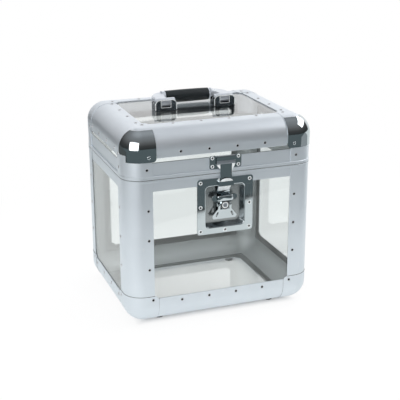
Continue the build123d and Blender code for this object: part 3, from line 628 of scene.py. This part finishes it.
def dress_solids():
    """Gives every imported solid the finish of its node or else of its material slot."""
    for part in frame["record"]["subparts"]:
        solid = frame["nodes"][part["node"]]
        solid.data.materials.clear()
        finish = NODE_FINISH.get(part["node"], SLOT_FINISH[part["material_slot"]])
        if finish is ALUMINIUM and part["node"].startswith("lid_"):
            finish = CLOSURE_ALUMINIUM
        solid.data.materials.append(finish)


dress_solids()


# ---- Rivets -------------------------------------------------------------------------------

def rivet_head(tree, sizes):
    """Hollow head: a flattened ring between the hole and the head's rim."""
    bead_sides = 8
    ring = tree.nodes.new("GeometryNodeCurvePrimitiveCircle")
    tree.links.new(sizes["Sides"], ring.inputs["Resolution"])
    both = math_node(tree, "ADD", sizes["Head Radius"], sizes["Hole Radius"])
    tree.links.new(math_node(tree, "MULTIPLY", both, 0.5), ring.inputs["Radius"])
    bead = tree.nodes.new("GeometryNodeCurvePrimitiveCircle")
    bead.inputs["Resolution"].default_value = bead_sides
    width = math_node(tree, "SUBTRACT", sizes["Head Radius"], sizes["Hole Radius"])
    tree.links.new(math_node(tree, "MULTIPLY", width, 0.5), bead.inputs["Radius"])
    sweep = tree.nodes.new("GeometryNodeCurveToMesh")
    tree.links.new(ring.outputs["Curve"], sweep.inputs["Curve"])
    tree.links.new(bead.outputs["Curve"], sweep.inputs["Profile Curve"])
    flatten = tree.nodes.new("GeometryNodeTransform")
    tree.links.new(sweep.outputs["Mesh"], flatten.inputs["Geometry"])
    flat = math_node(tree, "DIVIDE", sizes["Head Height"], width)
    squash = tree.nodes.new("ShaderNodeCombineXYZ")
    for axis, value in (("X", 1.0), ("Y", 1.0), ("Z", math_node(tree, "MULTIPLY", flat, 2.0))):
        feed(tree, squash.inputs[axis], value)
    tree.links.new(squash.outputs[0], flatten.inputs["Scale"])
    return flatten.outputs["Geometry"]


def rivet_core(tree, sizes):
    """Stub of the mandrel that is left in the head's hole."""
    tip_share, depth_share = 0.55, 0.45
    stub = tree.nodes.new("GeometryNodeMeshCone")
    tip = math_node(tree, "MULTIPLY", sizes["Hole Radius"], tip_share)
    depth = math_node(tree, "MULTIPLY", sizes["Head Height"], depth_share)
    for label, value in (
        ("Vertices", sizes["Sides"]),
        ("Radius Bottom", sizes["Hole Radius"]),
        ("Radius Top", tip),
        ("Depth", depth),
    ):
        tree.links.new(value, stub.inputs[label])
    return stub.outputs["Mesh"]


def rivet_tree(name, shape):
    """Geometry nodes that set one shape on every point of a seed mesh, turned to face out."""
    tree = bpy.data.node_groups.new(name, "GeometryNodeTree")
    for label, kind, way in (
        ("Places", "NodeSocketGeometry", "INPUT"),
        ("Head Radius", "NodeSocketFloat", "INPUT"),
        ("Hole Radius", "NodeSocketFloat", "INPUT"),
        ("Head Height", "NodeSocketFloat", "INPUT"),
        ("Sides", "NodeSocketInt", "INPUT"),
        ("Finish", "NodeSocketMaterial", "INPUT"),
        ("Rivets", "NodeSocketGeometry", "OUTPUT"),
    ):
        tree.interface.new_socket(label, in_out=way, socket_type=kind)
    nodes, links = tree.nodes, tree.links
    start, end = nodes.new("NodeGroupInput").outputs, nodes.new("NodeGroupOutput").inputs
    facing = nodes.new("GeometryNodeInputNamedAttribute")
    facing.data_type = "FLOAT_VECTOR"
    facing.inputs["Name"].default_value = "facing"
    turn = nodes.new("FunctionNodeAlignRotationToVector")
    turn.axis = "Z"
    links.new(facing.outputs["Attribute"], turn.inputs["Vector"])
    instance = nodes.new("GeometryNodeInstanceOnPoints")
    links.new(start["Places"], instance.inputs["Points"])
    links.new(shape(tree, start), instance.inputs["Instance"])
    links.new(turn.outputs["Rotation"], instance.inputs["Rotation"])
    realize = nodes.new("GeometryNodeRealizeInstances")
    smooth = nodes.new("GeometryNodeSetShadeSmooth")
    paint = nodes.new("GeometryNodeSetMaterial")
    links.new(instance.outputs["Instances"], realize.inputs["Geometry"])
    links.new(realize.outputs["Geometry"], smooth.inputs["Geometry"])
    links.new(smooth.outputs["Geometry"], paint.inputs["Geometry"])
    links.new(start["Finish"], paint.inputs["Material"])
    links.new(paint.outputs["Geometry"], end["Rivets"])
    return tree


HEAD_TREE = rivet_tree("rivet_heads", rivet_head)
CORE_TREE = rivet_tree("rivet_cores", rivet_core)


def grow(name, body, places, tree, values):
    """Runs a rivet tree on seed points and keeps the result as a plain mesh on its body."""
    seed = bpy.data.meshes.new(name + "_seed")
    seed.from_pydata([spot for spot, facing in places], [], [])
    attribute = seed.attributes.new("facing", "FLOAT_VECTOR", "POINT")
    for index, (spot, facing) in enumerate(places):
        attribute.data[index].vector = facing
    grower = add_object(name + "_seed", seed)
    modifier = grower.modifiers.new("rivets", "NODES")
    modifier.node_group = tree
    sockets = {
        item.name: item.identifier
        for item in tree.interface.items_tree
        if item.item_type == "SOCKET" and item.in_out == "INPUT"
    }
    for label, value in values.items():
        modifier[sockets[label]] = value
    bpy.context.view_layer.update()
    graph = bpy.context.evaluated_depsgraph_get()
    mesh = bpy.data.meshes.new_from_object(grower.evaluated_get(graph))
    grower.modifiers.remove(modifier)
    bpy.data.objects.remove(grower)
    mesh.name = name
    piece = add_object(name, mesh)
    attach(piece, body)


def rivet_size(head_radius, hole_radius, head_height, sides):
    return {
        "Head Radius": head_radius,
        "Hole Radius": hole_radius,
        "Head Height": head_height,
        "Sides": sides,
    }


def rivets(name, body, places, size, finish):
    grow(name + "_heads", body, places, HEAD_TREE, dict(size, Finish=finish))
    grow(name + "_cores", body, places, CORE_TREE, dict(size, Finish=MANDREL_PAINTED_SHADE))


FRAME_RIVET = rivet_size(head_radius=0.0031, hole_radius=0.0021, head_height=0.00085, sides=14)
BALL_RIVET = rivet_size(head_radius=0.0034, hole_radius=0.0014, head_height=0.0012, sides=20)
LATCH_RIVET = rivet_size(head_radius=0.0035, hole_radius=0.0019, head_height=0.0012, sides=20)
KEEPER_RIVET = rivet_size(head_radius=0.0033, hole_radius=0.0018, head_height=0.0012, sides=20)
HINGE_RIVET = rivet_size(head_radius=0.0030, hole_radius=0.0013, head_height=0.0012, sides=16)

# Rows of rivets on the flanges: places along a wall, inset from its ends, and heights.
ROW = (-0.08025, -0.02675, 0.02675, 0.08025)
ROW_INSET = 0.041
POST_X, POST_Y = HALF_WIDTH - ROW_INSET, HALF_DEPTH - ROW_INSET
BOTTOM_ROW_Z, POST_ROWS, LID_ROW_Z = 0.047, (0.114, 0.170, 0.226), 0.330
LID_POST_X, LID_POST_Y, LID_POST_Z = 0.143, 0.1065, 0.3015

# Rivets on the matte corners and the lid's ball corners, and how far each corner stands out.
CORNER_X, CORNER_Y, CORNER_Z = 0.136, 0.0995, 0.054
LID_CORNER_BACK_Z, LID_CORNER_SIDE_Z = 0.3285, 0.3265
BALL_X, BALL_Z = 0.139, 0.324
MATTE_PROUD, CHROME_PROUD = 0.0004, 0.0011

# Rivets on the two leaves of each hinge.
LEAF_HOLES, BODY_LEAF_Z, LID_LEAF_Z = (0.073, 0.090, 0.107), 0.2605, 0.3049


def both_ways(reach):
    return (-reach, reach)


def wall_points(side, along, z, proud=0.0):
    """Points on one upright wall of the case, at distances along it and one height."""
    if side in (FRONT, BACK):
        return [(Vector((a, side.y * (HALF_DEPTH + proud), z)), side) for a in along]
    return [(Vector((side.x * (HALF_WIDTH + proud), a, z)), side) for a in along]


def flange_points(side, z):
    """Points round the flange of the top or the bottom, at one height."""
    rim = [(x, sign * POST_Y) for x in ROW for sign in (-1, 1)]
    rim += [(sign * POST_X, y) for y in ROW for sign in (-1, 1)]
    return [(Vector((x, y, z)), side) for x, y in rim]


def body_rivet_places():
    places = []
    for sides, post, corner in (
        ((FRONT, BACK), POST_X, CORNER_X),
        ((LEFT, RIGHT), POST_Y, CORNER_Y),
    ):
        for side in sides:
            places += wall_points(side, ROW, BOTTOM_ROW_Z)
            for z in POST_ROWS:
                places += wall_points(side, both_ways(post), z)
            places += wall_points(side, both_ways(corner), CORNER_Z, MATTE_PROUD)
    return places + flange_points(UNDER, CASE_BOTTOM)


def lid_rivet_places():
    places = []
    for sides, post in (((FRONT, BACK), LID_POST_X), ((LEFT, RIGHT), LID_POST_Y)):
        for side in sides:
            places += wall_points(side, ROW, LID_ROW_Z)
            places += wall_points(side, both_ways(post), LID_POST_Z)
    places += wall_points(BACK, both_ways(CORNER_X), LID_CORNER_BACK_Z, MATTE_PROUD)
    for side in (LEFT, RIGHT):
        places += wall_points(side, (-LID_POST_Y, CORNER_Y), LID_CORNER_SIDE_Z, MATTE_PROUD)
    places += flange_points(TOP, CASE_TOP)
    for x in both_ways(CORNER_X):
        for y in both_ways(CORNER_Y):
            places.append((Vector((x, y, CASE_TOP + MATTE_PROUD)), TOP))
    return places


def latch_rivet_places():
    across, up, bottom_drop = 0.0475, 0.0460, 0.0468
    spots = [(x, z) for x in both_ways(across) for z in both_ways(up)]
    spots += [(-across, 0.0), (across, 0.0), (0.0, -bottom_drop)]
    return [(Vector((LATCH_X + x, -PLATE_FACE, LATCH_Z + z)), FRONT) for x, z in spots]


def keeper_rivet_places():
    across, rows = 0.0250, (0.2955, 0.3110)
    spots = [(x, z) for x in both_ways(across) for z in rows]
    return [(Vector((LATCH_X + x, -PLATE_FACE, z)), FRONT) for x, z in spots]


def hinge_rivet_places(z):
    spots = [sign * x for sign in (-1, 1) for x in LEAF_HOLES]
    return [(Vector((x, PLATE_FACE, z)), BACK) for x in spots]


BALL_RIVET_PLACES = wall_points(FRONT, both_ways(BALL_X), BALL_Z, CHROME_PROUD)

for name, body, places, size, finish, slot in (
    (
        "body_rivets", "case_body", body_rivet_places(),
        FRAME_RIVET, RIVET_ALUMINIUM, "frame_aluminium",
    ),
    ("lid_rivets", "lid", lid_rivet_places(), FRAME_RIVET, RIVET_ALUMINIUM, "frame_aluminium"),
    ("ball_corner_rivets", "lid", BALL_RIVET_PLACES, BALL_RIVET, CHROME, "latch_chrome"),
    ("latch_rivets", "case_body", latch_rivet_places(), LATCH_RIVET, BRIGHT_SATIN_AND_HIGHLIGHT, "latch_chrome"),
    ("keeper_rivets", "lid", keeper_rivet_places(), KEEPER_RIVET, BRIGHT_SATIN_AND_HIGHLIGHT, "latch_chrome"),
    (
        "hinge_body_rivets", "case_body", hinge_rivet_places(BODY_LEAF_Z),
        HINGE_RIVET, CHROME, "latch_chrome",
    ),
    (
        "hinge_lid_rivets", "lid", hinge_rivet_places(LID_LEAF_Z),
        HINGE_RIVET, CHROME, "latch_chrome",
    ),
):
    rivets(name, body, places, size, finish)


# ---- Small fittings of the latch and handle -----------------------------------------------

SMOOTH_ANGLE = math.radians(35)
QUARTERS = ((1, 1), (-1, 1), (-1, -1), (1, -1))


def keep_piece(name, body, finish, mesh):
    mesh.materials.clear()
    mesh.materials.append(finish)
    for face in mesh.polygons:
        face.use_smooth = True
    mesh.set_sharp_from_angle(angle=SMOOTH_ANGLE)
    piece = add_object(name, mesh)
    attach(piece, body)


def stacked_rings(name, rings):
    """Closed form through rings of as many points each, with both ends capped."""
    form = bmesh.new()
    loops = [[form.verts.new(spot) for spot in ring] for ring in rings]
    count = len(rings[0])
    for low, high in zip(loops, loops[1:]):
        for index in range(count):
            after = (index + 1) % count
            form.faces.new((low[index], low[after], high[after], high[index]))
    form.faces.new(list(reversed(loops[0])))
    form.faces.new(loops[-1])
    bmesh.ops.recalc_face_normals(form, faces=form.faces)
    mesh = bpy.data.meshes.new(name)
    form.to_mesh(mesh)
    form.free()
    return mesh


def front_ring(outline, middle, shrink, y):
    """An outline of (x, z) points drawn in towards its middle, at one depth."""
    middle_x, middle_z = middle
    return [
        Vector((middle_x + (x - middle_x) * shrink, y, middle_z + (z - middle_z) * shrink))
        for x, z in outline
    ]


def pressed_plate(name, body, finish, outline, back, front, crown):
    """Thin plate pressed on a front wall, its face slightly crowned."""
    middle = (
        sum(x for x, z in outline) / len(outline),
        sum(z for x, z in outline) / len(outline),
    )
    rings = [
        front_ring(outline, middle, 1.0, back),
        front_ring(outline, middle, 1.0, front),
        front_ring(outline, middle, 0.93, front - crown * 0.6),
        front_ring(outline, middle, 0.80, front - crown),
    ]
    keep_piece(name, body, finish, stacked_rings(name, rings))


def rounded_rod(name, body, finish, runs, radius):
    """Round bead laid along one or more paths, each open or closed."""
    curve = bpy.data.curves.new(name, "CURVE")
    curve.dimensions = "3D"
    curve.bevel_depth = radius
    curve.bevel_resolution = 2
    curve.use_fill_caps = True
    for path, closed in runs:
        run = curve.splines.new("POLY")
        run.points.add(len(path) - 1)
        for point, spot in zip(run.points, path):
            point.co = (*spot, 1.0)
        run.use_cyclic_u = closed
    laid = add_object(name + "_path", curve)
    bpy.context.view_layer.update()
    graph = bpy.context.evaluated_depsgraph_get()
    mesh = bpy.data.meshes.new_from_object(laid.evaluated_get(graph))
    mesh.name = name
    bpy.data.objects.remove(laid)
    keep_piece(name, body, finish, mesh)


def arc(centre, radius, first, sweep, steps):
    """Points on a circle in a plane, from one angle through a sweep."""
    angles = [first + sweep * step / steps for step in range(steps + 1)]
    return [(centre[0] + radius * math.cos(a), centre[1] + radius * math.sin(a)) for a in angles]


def rounded_outline(centre, half_across, half_up, radius, steps):
    """Rounded rectangle in a plane, one quarter circle after another."""
    outline = []
    for quarter, (sign_across, sign_up) in enumerate(QUARTERS):
        corner = (
            centre[0] + sign_across * (half_across - radius),
            centre[1] + sign_up * (half_up - radius),
        )
        outline += arc(corner, radius, quarter * math.pi / 2, math.pi / 2, steps)
    return outline


def seam_shadow_cords():
    """Dark cords that paint the shadow lines in the seam between lid and case and in the joints of
    the bottom corners.
    """
    seam_proud, wall_proud, steps = 0.00015, 0.0001, 10
    seam_outline = rounded_outline(
        (0.0, 0.0), HALF_WIDTH + seam_proud, HALF_DEPTH + seam_proud, EDGE_RADIUS, steps
    )
    seam = [Vector((x, y, SEAM_HEIGHT)) for x, y in seam_outline]
    rounded_rod(
        "lid_seam_shadow", "case_body", RUBBER_AND_PAINTED_SHADOW, [(seam, True)], radius=0.0004
    )

    corner_top, joint_top, under_reach = 0.0611, 0.0560, 0.048
    rim_end_x, rim_end_y, joint_x, joint_y = 0.1327, 0.0962, 0.1244, 0.0879
    wall_x, wall_y = HALF_WIDTH + wall_proud, HALF_DEPTH + wall_proud
    rims, joints = [], []
    for quarter, (sx, sy) in enumerate(QUARTERS):
        centre = (sx * (wall_x - EDGE_RADIUS), sy * (wall_y - EDGE_RADIUS))
        bend = arc(centre, EDGE_RADIUS, quarter * math.pi / 2, math.pi / 2, steps)
        if sx * sy < 0:
            bend.reverse()
        path = [(sx * wall_x, sy * rim_end_y), *bend, (sx * rim_end_x, sy * wall_y)]
        rims.append(([Vector((x, y, corner_top)) for x, y in path], False))
        for along_x, wall, joint in ((True, wall_y, joint_x), (False, wall_x, joint_y)):
            turn = (wall - EDGE_RADIUS, CASE_BOTTOM + EDGE_RADIUS)
            sweep = arc(turn, EDGE_RADIUS + wall_proud, -math.pi / 2, math.pi / 2, steps)
            under = (wall - under_reach, CASE_BOTTOM - wall_proud)
            profile = [under, *sweep, (wall + wall_proud, joint_top)]
            joints.append(([
                Vector((sx * joint, sy * out, z)) if along_x else Vector((sx * out, sy * joint, z))
                for out, z in profile
            ], False))
    rounded_rod(
        "bottom_rim_shadows", "case_body", RUBBER_AND_PAINTED_SHADOW, rims, radius=0.00045
    )
    rounded_rod(
        "bottom_joint_shadows", "case_body", RUBBER_AND_PAINTED_SHADOW, joints, radius=0.00018
    )


def hood_highlight():
    """Half round in bright satin on the hood's sloping front: a painted highlight where the slope
    faces up and catches the light.
    """
    foot, half_width, height, steps = 0.2677, 0.0120, 0.0053, 24
    slope_foot, slope_face, slope_height, slope_depth = 0.2670, -0.1521, 0.0066, 0.0007
    sunk, crown_face, lift = 0.0001, -0.15207, 0.0002
    rings = []
    for shrink, share_to_face in ((1.0, None), (1.0, 0.5), (0.9, 1.0)):
        ring = []
        for across, up in arc((0.0, 0.0), 1.0, 0.0, math.pi, steps):
            slope_y = slope_face + slope_depth * (foot + height * up - slope_foot) / slope_height
            if share_to_face is None:
                y = slope_y + sunk
            else:
                y = slope_y + (crown_face - slope_y) * share_to_face
            x = LATCH_X + half_width * across * shrink
            ring.append(Vector((x, y, foot + height * up * shrink + lift * (1 - shrink))))
        rings.append(ring)
    mesh = stacked_rings("hood_highlight", rings)
    keep_piece("hood_highlight", "case_body", BRIGHT_SATIN_AND_HIGHLIGHT, mesh)


def hook_fittings():
    """Dark lip under the hook's head, a painted dark reflection, and two bright shoulders from it
    into the neck, painted highlights.
    """
    lip = [(-0.0138, 0.2995), (0.0218, 0.2995), (0.0218, 0.3056), (-0.0138, 0.3056)]
    left = [
        (-0.0130, 0.2992), (-0.0072, 0.2992), (-0.0072, 0.2905), (-0.0090, 0.2925),
        (-0.0125, 0.2962),
    ]
    right = [
        (0.0218, 0.2992), (0.0200, 0.2950), (0.0178, 0.2910), (0.0166, 0.2870), (0.0162, 0.2835),
        (0.0152, 0.2835), (0.0152, 0.2870), (0.0152, 0.2910), (0.0152, 0.2950), (0.0152, 0.2992),
    ]
    crown = 0.0003
    for name, finish, outline, back, front in (
        ("hook_lip", STEEL_WITH_PAINTED_SHADE, lip, -0.1491, -0.1495),
        ("hook_shoulder_highlight_left", BRIGHT_SATIN_AND_HIGHLIGHT, left, -0.1480, -0.1492),
        ("hook_shoulder_highlight_right", BRIGHT_SATIN_AND_HIGHLIGHT, right, -0.1480, -0.1492),
    ):
        pressed_plate(name, "latch_hook", finish, outline, back, front, crown)


def hub_saddle():
    """Pressed saddle that ties the hub's two upper arms together above the screw."""
    low, high, half_width, corner_radius, corner_steps = 0.2292, 0.2388, 0.0150, 0.0022, 4
    back, front, crown = -0.1458, -0.1468, 0.0012
    centre = (LATCH_X, (low + high) / 2)
    outline = rounded_outline(centre, half_width, (high - low) / 2, corner_radius, corner_steps)
    pressed_plate("hub_saddle", "latch_turn", CHROME, outline, back, front, crown)


def hub_rings():
    """Bright washer round the hub's screw, and a dark ring round it that paints the shadow crescent
    about the hub.
    """
    count = 32
    for name, finish, reach, y, radius, slot in (
        ("hub_washer", BRIGHT_SATIN_AND_HIGHLIGHT, 0.00505, -0.1457, 0.0011, "latch_chrome"),
        ("hub_shadow_ring", RUBBER_AND_PAINTED_SHADOW, 0.0072, -0.1459, 0.0009, "foot_rubber"),
    ):
        round_path = arc((LATCH_X, LATCH_Z), reach, 0.0, math.tau, count)[:-1]
        circle = [Vector((x, y, z)) for x, z in round_path]
        rounded_rod(name, "latch_turn", finish, [(circle, True)], radius)


def arm_highlight():
    """Bright satin plate on the sloping part of the hook's arm, below the hood: a painted highlight
    where the bend reflects the white floor.
    """
    half_width, low, high = 0.0114, 0.2462, 0.2576
    foot_y, foot_z, slope, out_y, out_z = -0.13496, 0.24239, -0.5205, 0.887, 0.4617
    rings = []
    for inset, proud in ((0.0, -0.0002), (0.0, 0.0002), (0.0006, 0.0003)):
        ring = []
        for side, z in ((-1, low + inset), (1, low + inset), (1, high - inset), (-1, high - inset)):
            x = LATCH_X + side * (half_width - inset)
            y = foot_y + slope * (z - foot_z) - proud * out_y
            ring.append(Vector((x, y, z - proud * out_z)))
        rings.append(ring)
    mesh = stacked_rings("arm_highlight", rings)
    keep_piece("arm_highlight", "latch_hook", BRIGHT_SATIN_AND_HIGHLIGHT, mesh)


def bracket_highlights():
    """Bright rods along the rolled edge of each handle bracket and round its window: painted
    highlights on the chrome.
    """
    face_y, bracket_reach = -0.0021, 0.059
    low, high, half_width, bend, bend_steps = 0.3704, 0.3893, 0.0206, 0.0084, 8
    window_low, window_high, window_half = 0.3749, 0.3887, 0.00955
    window_bend, window_steps = 0.0012, 3
    for side, centre in (("left", -bracket_reach), ("right", bracket_reach)):
        left_turn = (centre - half_width + bend, high - bend)
        right_turn = (centre + half_width - bend, high - bend)
        arch = [
            (centre - half_width, low),
            *arc(left_turn, bend, math.pi, -math.pi / 2, bend_steps),
            *arc(right_turn, bend, math.pi / 2, -math.pi / 2, bend_steps),
            (centre + half_width, low),
        ]
        window = rounded_outline(
            (centre, (window_low + window_high) / 2),
            window_half, (window_high - window_low) / 2, window_bend, window_steps,
        )
        for name, path, closed, radius in (
            ("bracket_edge_highlight_", arch, False, 0.0007),
            ("bracket_window_highlight_", window, True, 0.0005),
        ):
            run = [Vector((x, face_y, z)) for x, z in path]
            rounded_rod(name + side, "lid", BRIGHT_SATIN_AND_HIGHLIGHT, [(run, closed)], radius)


seam_shadow_cords()
hood_highlight()
hook_fittings()
hub_saddle()
hub_rings()
arm_highlight()
bracket_highlights()
